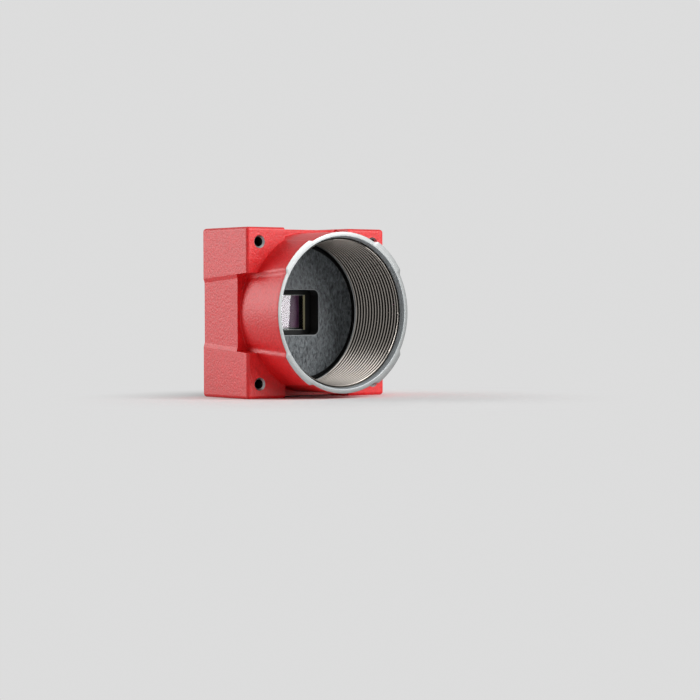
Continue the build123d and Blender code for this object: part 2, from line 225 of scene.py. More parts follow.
def block(name, size, middle):
    """A cuboid of a size (X, Y, Z) round a middle."""
    bpy.ops.mesh.primitive_cube_add(size=1, location=middle)
    piece = bpy.context.object
    piece.name = name
    piece.scale = size
    bpy.ops.object.transform_apply(location=True, rotation=True, scale=True)
    return piece


def drum(name, radius, front, rear, spot=(0, 0), steps=48, rear_radius=None):
    """A round bar, or a cone, between two depths at an (X, Z) spot."""
    bpy.ops.mesh.primitive_cone_add(
        vertices=steps,
        radius1=radius,
        radius2=radius if rear_radius is None else rear_radius,
        depth=rear - front,
        location=(spot[0], (front + rear) / 2, spot[1]),
        rotation=(-math.pi / 2, 0, 0),
    )
    piece = bpy.context.object
    piece.name = name
    bpy.ops.object.transform_apply(location=True, rotation=True, scale=True)
    return piece


def combine(piece, others, how):
    """Weld the others to the piece, or cut them out of it."""
    for other in others:
        step = piece.modifiers.new("step", "BOOLEAN")
        step.operation = how
        step.solver = "MANIFOLD"
        step.object = other
        bpy.context.view_layer.objects.active = piece
        bpy.ops.object.modifier_apply(modifier=step.name)
        bpy.data.objects.remove(other)
    return piece


def along_axis(a, b):
    """True for an edge that runs straight back."""
    return abs(a.x - b.x) < 1e-4 and abs(a.z - b.z) < 1e-4


def cut_corners(piece, cut, segments=1):
    """Cut or round the four corners that run along the optical axis."""
    pick(piece, along_axis, "edges")
    bpy.ops.mesh.bevel(offset=cut, segments=segments)
    finish_edit()


def soften(piece, width, segments=3, angle=50):
    """Round every edge that turns by more than the angle."""
    rounding = piece.modifiers.new("rounding", "BEVEL")
    rounding.angle_limit = math.radians(angle)
    rounding.width = width
    rounding.segments = segments
    bpy.context.view_layer.objects.active = piece
    bpy.ops.object.modifier_apply(modifier=rounding.name)


def settle(piece, node, materials, angle=35):
    """Bring a piece to metres, shade it, and let it stand for its node with these materials."""
    bpy.ops.object.select_all(action="DESELECT")
    piece.select_set(True)
    bpy.context.view_layer.objects.active = piece
    piece.scale = (mm, mm, mm)
    bpy.ops.object.transform_apply(location=True, rotation=True, scale=True)
    bpy.ops.object.shade_smooth_by_angle(angle=math.radians(angle))
    evened = piece.modifiers.new("evened", "WEIGHTED_NORMAL")
    evened.keep_sharp = True
    bpy.ops.object.modifier_apply(modifier=evened.name)
    piece.data.materials.clear()
    for material in materials:
        piece.data.materials.append(material)
    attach(piece, "root")
    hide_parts(node)


def band_half(depth):
    """Half the width of a side band's floor, which widens towards the lens."""
    return band_rear_half + band_flare * (body_rear - depth)


def flank_edge(a, b, long=5):
    """True for a long edge where a side band's flank begins or ends."""
    slid = [min(abs(end.x), abs(end.z)) - band_half(end.y) for end in (a, b)]
    return abs(a.y - b.y) >= long and all(-hair < offset < flank_run + hair for offset in slid)


def on_band(middle, normal, out, along, side):
    """True for the face between the flanks on one side of the body."""
    return normal[out] * side > facing and abs(middle[along]) < band_half(middle.y) - 0.1


body_middle = (body_front + body_rear) / 2
housing = block("camera_housing", (2 * body_half, body_depth, 2 * body_half), (0, body_middle, 0))
for offset in (band_rear_half, band_rear_half + flank_run):
    for side in (-1, 1):
        pick(housing, lambda middle, normal: True)
        bpy.ops.mesh.bisect(plane_co=(0, body_rear, side * offset), plane_no=(0, band_flare, side))
        bpy.ops.mesh.select_all(action="SELECT")
        bpy.ops.mesh.bisect(plane_co=(side * offset, body_rear, 0), plane_no=(side, band_flare, 0))
for out, along in ((0, 2), (2, 0)):
    for side in (-1, 1):
        pick(housing, lambda middle, normal: on_band(middle, normal, out, along, side))
        inward = [0, 0, 0]
        inward[out] = -side * band_depth
        bpy.ops.transform.translate(value=inward)
finish_edit()
soften(housing, body_rounding, segments=4)
pick(housing, flank_edge, "edges")
bpy.ops.mesh.bevel(offset=flank_rounding, segments=2)
finish_edit()

pockets = []
for quarter in range(4):
    pocket = block("pocket", (2, 2, 2), (0, 0, 0))
    for vertex in pocket.data.vertices:
        depth = pocket_floor if vertex.co.y > 0 else body_front - past
        half = band_half(depth) + flank_run
        across = body_half + past if vertex.co.x > 0 else pocket_inner
        vertex.co = (across, depth, math.copysign(half, vertex.co.z))
    pocket.rotation_euler.y = quarter * math.pi / 2
    pockets.append(pocket)
combine(housing, pockets, "DIFFERENCE")
barrel_socket = drum("barrel_socket", barrel_socket_radius, body_front - past, wall_front, steps=256)
combine(housing, [barrel_socket], "DIFFERENCE")
soften(housing, pocket_rounding, segments=2)


def outline(angle, depth):
    """The barrel's radius: four bands, and four sectors that stand up between flared flanks."""
    across, along = sorted((abs(math.sin(angle)), abs(math.cos(angle))))
    half = band_half(depth)
    floor_at = math.sqrt(rim_radius**2 - half**2)
    flank = (floor_at - half * flank_rise) / (along - across * flank_rise)
    return min(max(flank, rim_radius), sector_radius)


def outer_row(depth, inset=0.0, sector_flare=0.0, band_flare_out=0.0):
    """A row of the barrel's outside, its edges rounded, with its foot flared out."""
    def radius_at(angle):
        spread = math.radians(0.6)
        here = sum(outline(angle + spread * step, depth) for step in (-1, 0, 1)) / 3
        raised = (here - rim_radius) / (sector_radius - rim_radius)
        return here - inset + sector_flare * raised**2 + band_flare_out * (1 - raised)
    return radius_at, lambda angle: depth


def round_row(radius, depth):
    return lambda angle: radius, lambda angle: depth


def thread_row(lap, radius):
    """A row of the lens thread, which climbs one pitch in each turn and is cut off at both ends."""
    def free_depth(angle):
        return thread_start + (lap - angle / math.tau) * thread_pitch

    def radius_at(angle):
        return radius if thread_start < free_depth(angle) < thread_finish else relief_radius

    def depth_at(angle):
        return min(max(free_depth(angle), thread_start), thread_finish)
    return radius_at, depth_at


root_fillet, root_steps = 0.06, 6
pocket_fillet, pocket_steps = 0.15, 5
sunk, foot_front, foot_rear = 0.03, pocket_floor + 0.2, wall_front + 0.3
pocket_row_gap, front_row_gap, front_row_count = 0.7, 0.8, 9
rim_edge, rim_bend, relief_start = 0.10, 0.03, 0.85
mouth_edge, mouth_depth, mouth_taper = 0.06, 0.05, 0.01
rows = [round_row(rim_radius, foot_rear), round_row(rim_radius, foot_front)]
for step in range(pocket_steps + 1):
    lean = math.radians(90 - 90 / pocket_steps * step)
    depth = pocket_floor + sunk - pocket_fillet * (1 - math.sin(lean))
    rows.append(outer_row(depth, band_flare_out=pocket_fillet * (1 - math.cos(lean))))
for step in range(1, 4):
    rows.append(outer_row(pocket_floor - pocket_fillet - step * pocket_row_gap))
for step in range(root_steps + 1):
    lean = math.radians(90 - 90 / root_steps * step)
    depth = body_front + sunk - root_fillet * (1 - math.sin(lean))
    rows.append(outer_row(depth, sector_flare=root_fillet * (1 - math.cos(lean))))
for step in reversed(range(front_row_count)):
    rows.append(outer_row(rim_edge + step * front_row_gap))
rows += [outer_row(rim_bend, inset=rim_bend), outer_row(0.0, inset=rim_edge)]
rows += [round_row(mouth_radius + mouth_edge, 0.0), round_row(mouth_radius - mouth_taper, mouth_depth)]
rows += [round_row(relief_radius, relief_start), round_row(relief_radius, thread_start)]
thread_shape = [
    (0.00, crest_radius), (0.18, crest_radius), (0.27, crest_corner), (0.44, groove_corner),
    (0.50, thread_radius), (0.66, thread_radius), (0.72, groove_corner), (0.91, crest_corner),
]
for turn in range(int((thread_finish - thread_start) / thread_pitch) + 2):
    rows += [thread_row(turn + phase, radius) for phase, radius in thread_shape]
rows += [round_row(relief_radius, thread_finish), round_row(land_radius, thread_finish + land_step)]
rows += [round_row(land_radius, land_rear), round_row(land_radius, foot_rear)]
rows.append(rows[0])

columns = 360
bpy.ops.mesh.primitive_grid_add(x_subdivisions=columns, y_subdivisions=len(rows) - 1, size=2)
barrel = bpy.context.object
for vertex in barrel.data.vertices:
    angle = round((vertex.co.x + 1) / 2 * columns) / columns * math.tau
    radius_at, depth_at = rows[round((vertex.co.y + 1) / 2 * (len(rows) - 1))]
    radius = radius_at(angle)
    vertex.co = (radius * math.cos(angle), depth_at(angle), radius * math.sin(angle))
pick(barrel, lambda middle, normal: True)
bpy.ops.mesh.remove_doubles(threshold=0.002)
bpy.ops.mesh.normals_make_consistent(inside=False)
finish_edit()

cavity_half = body_half - side_wall
cavity = block(
    "cavity",
    (2 * cavity_half, body_rear + past - wall_rear, 2 * cavity_half),
    (0, (body_rear + past + wall_rear) / 2, 0),
)
columns_kept = []
for x in (-1, 1):
    for z in (-1, 1):
        middle = cavity_half - column_size / 2 + past / 2
        columns_kept.append(block(
            "column",
            (column_size + past, cover_seat - wall_rear + past, column_size + past),
            (x * middle, (cover_seat + wall_rear - past) / 2, z * middle),
        ))
board_screw_reach, pillar_width, pillar_top = 7.9, 2.8, 18.6
tap_radius, tap_floor = 0.6, 16.4
for side in (-1, 1):
    spot = (side * board_screw_reach, side * board_screw_reach)
    pillar = block(
        "pillar",
        (pillar_width, pillar_top - wall_rear + past, pillar_width),
        (spot[0], (pillar_top + wall_rear - past) / 2, spot[1]),
    )
    tap = drum("tap", tap_radius, tap_floor, pillar_top + past, spot)
    columns_kept.append(combine(pillar, [tap], "DIFFERENCE"))
combine(cavity, columns_kept, "DIFFERENCE")
cover_opening = 2 * (body_half - cover_border)
nest_size = (cover_opening, short_cut, cover_opening)
cover_nest = block("cover_nest", nest_size, (0, cover_seat + short_cut / 2, 0))
cut_corners(cover_nest, cover_corner, 5)
boss_seat = block(
    "boss_seat",
    (plate_boss_width + 2 * boss_play, short_cut, plate_boss_height + 2 * boss_play),
    (0, wall_rear, 0),
)
combine(housing, [cavity, cover_nest, boss_seat], "DIFFERENCE")

hole_reach, hole_radius, hole_depth = 12.0, 0.80, 4.0
hole_mouth_radius, hole_mouth_floor = 1.25, 0.75
hole_mouth_rise, hole_mouth_depth = 0.15, 0.35
ring_count, ring_start, ring_pitch, ring_flank, ring_lap, ring_radius = 8, 0.45, 0.40, 0.16, 0.001, 0.94
cover_screw_reach, cover_tap_radius, cover_tap_depth = body_half - 3.4, 0.70, 4.0
for x in (-1, 1):
    for z in (-1, 1):
        spot = (x * hole_reach, z * hole_reach)
        hole = drum("hole", hole_radius, body_front - past, body_front + hole_depth, spot)
        mouth = drum(
            "mouth",
            hole_mouth_radius,
            body_front - hole_mouth_rise,
            body_front + hole_mouth_depth,
            spot,
            rear_radius=hole_mouth_floor,
        )
        rings = []
        for turn in range(ring_count):
            front = body_front + ring_start + ring_pitch * turn
            middle, rear = front + ring_flank, front + 2 * ring_flank
            rings.append(drum("groove", hole_radius, front, middle, spot, rear_radius=ring_radius))
            rings.append(drum("groove", ring_radius, middle - ring_lap, rear, spot, rear_radius=hole_radius))
        combine(housing, [hole, mouth] + rings, "DIFFERENCE")
        spot = (x * cover_screw_reach, z * cover_screw_reach)
        tap = drum("tap", cover_tap_radius, body_rear - cover_tap_depth, cover_seat + past, spot)
        combine(housing, [tap], "DIFFERENCE")
combine(housing, [barrel], "UNION")


def grain_group():
    """Fine pebbled grain of a baked coating: a height, and a mask that is high on the pebbles."""
    group = bpy.data.node_groups.new("coat_grain", "ShaderNodeTree")
    sockets = group.interface
    size = sockets.new_socket("Grains per metre", in_out="INPUT", socket_type="NodeSocketFloat")
    size.default_value = 2800
    sockets.new_socket("Height", in_out="OUTPUT", socket_type="NodeSocketFloat")
    sockets.new_socket("Mask", in_out="OUTPUT", socket_type="NodeSocketFloat")
    nodes, links = group.nodes, group.links
    given, made = nodes.new("NodeGroupInput"), nodes.new("NodeGroupOutput")
    place = nodes.new("ShaderNodeTexCoord")
    pebbles = nodes.new("ShaderNodeTexVoronoi")
    pebbles.feature = "SMOOTH_F1"
    pebbles.inputs["Smoothness"].default_value = 0.6
    cloud = nodes.new("ShaderNodeTexNoise")
    cloud.inputs["Detail"].default_value = 3.0
    halve = nodes.new("ShaderNodeMath")
    halve.operation = "MULTIPLY"
    halve.inputs[1].default_value = 0.7
    invert = nodes.new("ShaderNodeMath")
    invert.operation = "SUBTRACT"
    invert.inputs[0].default_value = 1.0
    add = nodes.new("ShaderNodeMath")
    add.operation = "MULTIPLY_ADD"
    add.inputs[1].default_value = 0.8
    links.new(place.outputs["Object"], pebbles.inputs["Vector"])
    links.new(place.outputs["Object"], cloud.inputs["Vector"])
    links.new(given.outputs["Grains per metre"], pebbles.inputs["Scale"])
    links.new(given.outputs["Grains per metre"], halve.inputs[0])
    links.new(halve.outputs[0], cloud.inputs["Scale"])
    links.new(pebbles.outputs["Distance"], invert.inputs[1])
    links.new(invert.outputs[0], add.inputs[0])
    links.new(cloud.outputs["Fac"], add.inputs[2])
    links.new(add.outputs[0], made.inputs["Height"])
    links.new(cloud.outputs["Fac"], made.inputs["Mask"])
    return group


coat_grain = grain_group()


def add_grain(tree, shader, grains, depth):
    """Place the grain in a material as a bump, and give back its group node."""
    grain = tree.nodes.new("ShaderNodeGroup")
    grain.node_tree = coat_grain
    grain.inputs["Grains per metre"].default_value = grains
    bump = tree.nodes.new("ShaderNodeBump")
    bump.inputs["Distance"].default_value = depth
    bump.inputs["Strength"].default_value = 1.0
    tree.links.new(grain.outputs["Height"], bump.inputs["Height"])
    tree.links.new(bump.outputs["Normal"], shader.inputs["Normal"])
    return grain


def tint(tree, shader, mask, dark, light, name="Base Color"):
    """Colour a shader between two colours by a mask that varies over the surface."""
    ramp = tree.nodes.new("ShaderNodeValToRGB")
    ramp.color_ramp.elements[0].position, ramp.color_ramp.elements[1].position = 0.3, 0.7
    ramp.color_ramp.elements[0].color = (*dark, 1)
    ramp.color_ramp.elements[1].color = (*light, 1)
    tree.links.new(mask, ramp.inputs["Fac"])
    tree.links.new(ramp.outputs["Color"], shader.inputs[name])


def plain_material(name, dark, light, roughness, metallic=0.0, grains=9000, depth=0.000005, specular=0.5):
    """A finish with fine grain between two close colours."""
    material, tree, shader = new_material(name)
    shader.inputs["Roughness"].default_value = roughness
    shader.inputs["Metallic"].default_value = metallic
    shader.inputs["Specular IOR Level"].default_value = specular
    grain = add_grain(tree, shader, grains, depth)
    tint(tree, shader, grain.outputs["Mask"], dark, light)
    return material


red_coat = plain_material(
    "red_powder_coat", (0.62, 0.003, 0.005), (0.76, 0.005, 0.008), 0.44, 0.0, 3000, 0.00004, 0.65
)


def turned_group():
    """Fine lines left by turning round the optical axis: a height and a mask."""
    group = bpy.data.node_groups.new("turning_lines", "ShaderNodeTree")
    sockets = group.interface
    size = sockets.new_socket("Lines per metre", in_out="INPUT", socket_type="NodeSocketFloat")
    size.default_value = 12000
    sockets.new_socket("Height", in_out="OUTPUT", socket_type="NodeSocketFloat")
    sockets.new_socket("Mask", in_out="OUTPUT", socket_type="NodeSocketFloat")
    nodes, links = group.nodes, group.links
    given, made = nodes.new("NodeGroupInput"), nodes.new("NodeGroupOutput")
    place = nodes.new("ShaderNodeTexCoord")
    split = nodes.new("ShaderNodeSeparateXYZ")
    flat = nodes.new("ShaderNodeCombineXYZ")
    radius = nodes.new("ShaderNodeVectorMath")
    radius.operation = "LENGTH"
    line = nodes.new("ShaderNodeCombineXYZ")
    lines = nodes.new("ShaderNodeTexNoise")
    lines.inputs["Detail"].default_value = 2.0
    links.new(place.outputs["Object"], split.inputs["Vector"])
    links.new(split.outputs["X"], flat.inputs["X"])
    links.new(split.outputs["Z"], flat.inputs["Z"])
    links.new(flat.outputs["Vector"], radius.inputs[0])
    links.new(radius.outputs["Value"], line.inputs["X"])
    links.new(split.outputs["Y"], line.inputs["Y"])
    links.new(line.outputs["Vector"], lines.inputs["Vector"])
    links.new(given.outputs["Lines per metre"], lines.inputs["Scale"])
    links.new(lines.outputs["Fac"], made.inputs["Height"])
    links.new(lines.outputs["Fac"], made.inputs["Mask"])
    return group


turning_lines = turned_group()


def turned_zinc(name, roughness, metallic, lines, depth):
    """Machined metal with its turning lines: the material, its nodes, its shader and the lines' mask."""
    material, tree, shader = new_material(name)
    shader.inputs["Metallic"].default_value = metallic
    shader.inputs["Roughness"].default_value = roughness
    turned = tree.nodes.new("ShaderNodeGroup")
    turned.node_tree = turning_lines
    turned.inputs["Lines per metre"].default_value = lines
    if depth > 0:
        bump = tree.nodes.new("ShaderNodeBump")
        bump.inputs["Distance"].default_value = depth
        tree.links.new(turned.outputs["Height"], bump.inputs["Height"])
        tree.links.new(bump.outputs["Normal"], shader.inputs["Normal"])
    return material, tree, shader, turned.outputs["Mask"]


bare_zinc, tree, shader, mask = turned_zinc("machined_zinc", 0.45, 1.0, 9000, 0.000004)
tint(tree, shader, mask, (0.27, 0.28, 0.28), (0.37, 0.38, 0.38))
# The mouth wall is a lighter, less metallic copy of the machined zinc, painted lighter to stand in for the
# light on the wall.
mouth_zinc_painted_light, tree, shader, mask = turned_zinc("mouth_zinc_painted_light", 0.5, 0.6, 9000, 0.0)
tint(tree, shader, mask, (0.48, 0.52, 0.54), (0.62, 0.66, 0.68))

# The thread's grooves are painted dark as shade, by the distance from the optical axis; faces farther out,
# such as the screw holes' insides, get the same painted shade.
groove_shade_low, groove_shade_high = crest_radius + 0.02, crest_radius + 0.22
thread_zinc_painted_shade, tree, shader, mask = turned_zinc("thread_cut_zinc_painted_shade", 0.30, 1.0, 14000, 0.000003)
place = tree.nodes.new("ShaderNodeTexCoord")
across = tree.nodes.new("ShaderNodeVectorMath")
across.operation = "MULTIPLY"
across.inputs[1].default_value = (1, 0, 1)
from_axis = tree.nodes.new("ShaderNodeVectorMath")
from_axis.operation = "LENGTH"
groove = tree.nodes.new("ShaderNodeMapRange")
groove.inputs["From Min"].default_value = groove_shade_low * mm
groove.inputs["From Max"].default_value = groove_shade_high * mm
groove.inputs["To Min"].default_value = 1.0
groove.inputs["To Max"].default_value = 0.0
tree.links.new(place.outputs["Object"], across.inputs[0])
tree.links.new(across.outputs[0], from_axis.inputs[0])
tree.links.new(from_axis.outputs["Value"], groove.inputs["Value"])
tint(tree, shader, groove.outputs["Result"], (0.010, 0.009, 0.008), (0.36, 0.33, 0.30))
# Near-black painted as shade: on the bore behind the plate's land, in the cavity, and on the plate window's
# walls.
shade_black = plain_material(
    "painted_shade_black", (0.006, 0.006, 0.006), (0.014, 0.014, 0.014), 0.75, 0.0, 5000, 0.00001
)
settle(housing, "front_housing", [red_coat, bare_zinc, thread_zinc_painted_shade, shade_black, mouth_zinc_painted_light])
# Where the machining shows, and where shade and light are painted: radii round the axis and round each hole,
# and depths from the faces.
inner_reach, inner_margin, nest_margin = cavity_half + 0.4, 0.1, 0.05
seat_edge, thread_edge, mouth_rim, bore_edge = 12.70, 12.80, 13.019, 12.95
hole_edge, hole_mouth_edge, hole_top, hole_floor, hole_mouth_end = 0.98, 1.13, 0.3, hole_depth + 0.1, 0.4
rim_depth = 0.02
for face in housing.data.polygons:
    x, depth, z = face.center / mm
    behind = depth - body_front
    radius = math.hypot(x, z)
    hole = math.hypot(abs(x) - hole_reach, abs(z) - hole_reach)
    inside = wall_rear - inner_margin < depth < cover_seat - nest_margin
    inside = inside and max(abs(x), abs(z)) < inner_reach
    in_hole = hole < hole_edge and hole_top < behind < hole_floor
    in_hole_mouth = hole < hole_mouth_edge and hair < behind < hole_mouth_end
    in_thread = thread_start - hair < depth < thread_finish and radius < thread_edge
    in_bore = depth < land_rear and radius < bore_edge
    # Painted shade: the bore behind the land and the cavity inside the body.
    if radius < seat_edge and land_rear < depth < wall_rear or inside:
        face.material_index = 3
    # Thread and screw holes: the painted groove shade, which also darkens the holes' insides.
    elif in_thread or in_hole:
        face.material_index = 2
    # The mouth wall: the lighter copy of the zinc, with its painted light.
    elif depth < thread_start and radius < mouth_rim:
        face.material_index = 4
    elif depth < rim_depth or in_bore or in_hole_mouth:
        face.material_index = 1
    else:
        face.material_index = 0


# Aperture plate: a turned disc with a rectangular window, whose boss fits into the inner wall's opening.
# It is coated a dark blue-grey that dries in fine wrinkles, and a thin bevel runs round its edges. The
# window's bevel is painted lighter grey as a highlight, and the window's walls near-black as shade.
plate_radius, plate_front, plate_bevel = 11.43, 13.0, 0.14
boss_rear, boss_length = wall_front + 0.6, 1.1
window_width, window_height, window_corner = 8.2, 7.8, 1.0
window_cut, window_middle = 4, 14
plate = drum("light_shield_plate", plate_radius, plate_front, wall_front, steps=192)
boss_size = (plate_boss_width, boss_length, plate_boss_height)
boss = block("boss", boss_size, (0, boss_rear - boss_length / 2, 0))
combine(plate, [boss], "UNION")
window = block("window", (window_width, window_cut, window_height), (0, window_middle, 0))
cut_corners(window, window_corner, 8)
combine(plate, [window], "DIFFERENCE")


def front_edge(a, b):
    """True for an edge round the plate's front face, at its rim or at its window."""
    in_front = max(a.y, b.y) < plate_front + hair
    at_rim = min(math.hypot(a.x, a.z), math.hypot(b.x, b.z)) > plate_radius - hair
    beside = max(abs(a.x), abs(b.x)) < window_width / 2 + hair
    above = max(abs(a.z), abs(b.z)) < window_height / 2 + hair
    return in_front and (at_rim or beside and above)


pick(plate, front_edge, "edges")
bpy.ops.mesh.bevel(offset=plate_bevel, segments=2)
finish_edit()

wrinkle_coat, tree, shader = new_material("wrinkle_coat")
shader.inputs["Roughness"].default_value = 0.40
place = tree.nodes.new("ShaderNodeTexCoord")
stretch = tree.nodes.new("ShaderNodeMapping")
stretch.inputs["Scale"].default_value = (2600, 2600, 1300)
folds = tree.nodes.new("ShaderNodeTexNoise")
folds.inputs["Scale"].default_value = 1.0
folds.inputs["Detail"].default_value = 2.0
folds.inputs["Distortion"].default_value = 0.6
bump = tree.nodes.new("ShaderNodeBump")
bump.inputs["Distance"].default_value = 0.00018
tree.links.new(place.outputs["Object"], stretch.inputs["Vector"])
tree.links.new(stretch.outputs["Vector"], folds.inputs["Vector"])
tree.links.new(folds.outputs["Fac"], bump.inputs["Height"])
tree.links.new(bump.outputs["Normal"], shader.inputs["Normal"])
tint(tree, shader, folds.outputs["Fac"], (0.030, 0.035, 0.040), (0.190, 0.211, 0.224))
# A lighter grey painted on the window's bevel as a highlight.
window_bevel_highlight = plain_material(
    "plate_window_painted_highlight", (0.20, 0.21, 0.22), (0.28, 0.30, 0.31), 0.45, depth=0.000004
)
settle(plate, "aperture_plate", [wrinkle_coat, shade_black, window_bevel_highlight])
rim_of_window, thin = 0.15, 0.001
# Round the window, the bevel gets the painted highlight and the walls behind it the painted shade.
for face in plate.data.polygons:
    x, depth, z = face.center / mm
    behind = depth - plate_front
    in_window = abs(x) < window_width / 2 + rim_of_window and abs(z) < window_height / 2 + rim_of_window
    if not in_window or behind < thin:
        face.material_index = 0
    else:
        face.material_index = 2 if behind < plate_bevel - thin else 1


# Sensor seal and package: a foam frame behind the plate, and the black ceramic carrier of the sensor.
# Both keep their CAD form; the foam is cut sheet, and the ceramic is pressed and fired.
def finish_node(name, material):
    """Give a CAD node its material."""
    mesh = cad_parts[name].data
    mesh.materials.clear()
    mesh.materials.append(material)


black_foam = plain_material(
    "black_foam", (0.008, 0.008, 0.008), (0.02, 0.02, 0.02), 0.95, 0.0, 6000, 0.00006
)
finish_node("sensor_seal", black_foam)

ceramic = plain_material("black_ceramic", (0.006, 0.006, 0.007), (0.012, 0.012, 0.013), 0.55)
finish_node("sensor_package", ceramic)


# Sensor lid: a flat sheet of clear glass with ground edges, glued over the package.
# A matt black mask is printed round its clear field, with a thin gold-toned line along its sides, and along
# its top and bottom a thin light line that is a painted highlight.
glass_low, glass_high = (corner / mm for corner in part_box("sensor_lid_glass"))
lid = block("sensor_cover_glass", glass_high - glass_low, (glass_low + glass_high) / 2)
lid_rounding, mask_margin, side_line_width, upper_line_width = 0.08, 2.0, 0.42, 0.07
clear_width, clear_height = 6.00, 6.00
line_width, line_height = clear_width + 2 * side_line_width, clear_height + 2 * upper_line_width
soften(lid, lid_rounding, segments=2)
pick(lid, lambda middle, normal: normal.y < -facing)
bpy.ops.mesh.inset(thickness=mask_margin)
framed = glass_high - glass_low - Vector((1, 1, 1)) * 2 * (mask_margin + lid_rounding)
bpy.ops.transform.resize(value=(line_width / framed.x, 1, line_height / framed.z))
bpy.ops.mesh.inset(thickness=upper_line_width)
bpy.ops.transform.resize(value=(clear_width / (line_width - 2 * upper_line_width), 1, 1))
finish_edit()
lid_glass, tree, shader = new_material("coated_glass")
shader.inputs["Base Color"].default_value = (0.97, 0.95, 0.98, 1)
shader.inputs["Roughness"].default_value = 0.0
shader.inputs["IOR"].default_value = 1.5
shader.inputs["Transmission Weight"].default_value = 1.0
print_grain = {"grains": 12000, "depth": 0.000002}
glass_mask = plain_material(
    "printed_mask", (0.004, 0.004, 0.004), (0.008, 0.008, 0.008), 0.7, **print_grain
)
# A light grey line painted along the print's top and bottom edges as a highlight.
painted_highlight_line = plain_material("mask_edge_line", (0.42, 0.42, 0.40), (0.52, 0.52, 0.50), 0.35, **print_grain)
side_line = plain_material("mask_side_line", (0.56, 0.52, 0.30), (0.66, 0.61, 0.38), 0.35, **print_grain)
settle(lid, "sensor_lid_glass", [lid_glass, glass_mask, painted_highlight_line, side_line])
mask_face_area, centred = 4.0, 0.1
for face in lid.data.polygons:
    x, depth, z = face.center / mm
    if face.normal.y < -facing and max(abs(x), abs(z)) > hair:
        beside = abs(x) > clear_width / 2 and abs(z) < centred
        above = abs(z) > clear_height / 2 and abs(x) < centred
        wide = face.area / mm**2 > mask_face_area
        face.material_index = 1 if wide or not (beside or above) else 3 if beside else 2


# Sensor die: a polished silicon chip whose violet image field is ringed by darker circuits.
# A thin bright line runs along the field, and the chip's rim is bare.
die_low, die_high = (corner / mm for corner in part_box("sensor_die"))
die = block("sensor_chip", die_high - die_low, (die_low + die_high) / 2)
bare_rim, circuit_ring, guard_line, field_share = 0.12, 0.05, 0.05, 0.825
pick(die, lambda middle, normal: normal.y < -facing)
bpy.ops.mesh.inset(thickness=bare_rim)
bpy.ops.mesh.inset(thickness=circuit_ring)
bpy.ops.transform.resize(value=(field_share, 1, 1))
bpy.ops.mesh.inset(thickness=guard_line)
finish_edit()
silicon = plain_material("silicon_rim", (0.05, 0.05, 0.055), (0.09, 0.09, 0.10), 0.25, 0.6, 4000, 0.0)
circuits = plain_material(
    "chip_circuits", (0.012, 0.006, 0.018), (0.03, 0.02, 0.035), 0.6, 0.0, 4000, 0.0
)
bright_line = plain_material(
    "chip_guard_line", (0.22, 0.17, 0.16), (0.28, 0.22, 0.20), 0.5, 0.0, 4000, 0.0
)
image_field = plain_material(
    "image_field", (0.180, 0.055, 0.145), (0.200, 0.062, 0.165), 0.5, 0.0, 2000, 0.0
)
settle(die, "sensor_die", [silicon, circuits, bright_line, image_field])
# From its middle outwards, the chip's face is the field, then rings of four faces each.
from_middle = sorted(
    (face for face in die.data.polygons if face.normal.y < -facing),
    key=lambda face: math.hypot(face.center.x, face.center.z - (die_low.z + die_high.z) / 2 * mm),
)
for face, finish in zip(from_middle, [3] + 4 * [2] + 4 * [1] + 4 * [0]):
    face.material_index = finish


# Bond pads and wires: gold fingers on the ledge, each tied to the chip's edge by a looped gold wire.
# A pad is plated thick film; a wire is 0.05 mm thick, welded at both ends.
gold = plain_material(
    "gold_plating", (0.62, 0.42, 0.14), (0.80, 0.58, 0.22), 0.28, 1.0, 16000, 0.000002
)
pad_low, pad_high = (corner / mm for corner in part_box("bond_pads"))
pad_length, pad_width, pad_pitch, pad_count, pad_rounding = 0.55, 0.28, 0.56, 10, 0.015
loop_radius, wire_radius, loop_offset, loop_sunk = 0.30, 0.025, 0.10, 0.02
fingers = []
for side in (-1, 1):
    for step in range(pad_count):
        z = pad_low.z + pad_width / 2 + step * pad_pitch
        x = side * (pad_high.x - pad_length / 2)
        middle_depth = (pad_low.y + pad_high.y) / 2
        finger = block("finger", (pad_length, pad_high.y - pad_low.y, pad_width), (x, middle_depth, z))
        soften(finger, pad_rounding, segments=1)
        fingers.append(finger)
        bpy.ops.mesh.primitive_torus_add(
            location=(side * (die_high.x + loop_offset), pad_high.y + loop_sunk, z),
            rotation=(math.pi / 2, 0, 0),
            major_radius=loop_radius,
            minor_radius=wire_radius,
            major_segments=20,
            minor_segments=6,
        )
        wire = bpy.context.object
        bpy.ops.object.transform_apply(location=True, rotation=True, scale=True)
        pick(wire, lambda middle, normal: True)
        bpy.ops.mesh.bisect(
            plane_co=(0, pad_high.y, 0), plane_no=(0, 1, 0), clear_outer=True, use_fill=True
        )
        finish_edit()
        fingers.append(wire)


def join(pieces, name):
    """Make one object of several separate bodies."""
    bpy.ops.object.select_all(action="DESELECT")
    for part in pieces:
        part.select_set(True)
    bpy.context.view_layer.objects.active = pieces[0]
    bpy.ops.object.join()
    pieces[0].name = name
    return pieces[0]


settle(join(fingers, "bond_fingers"), "bond_pads", [gold])


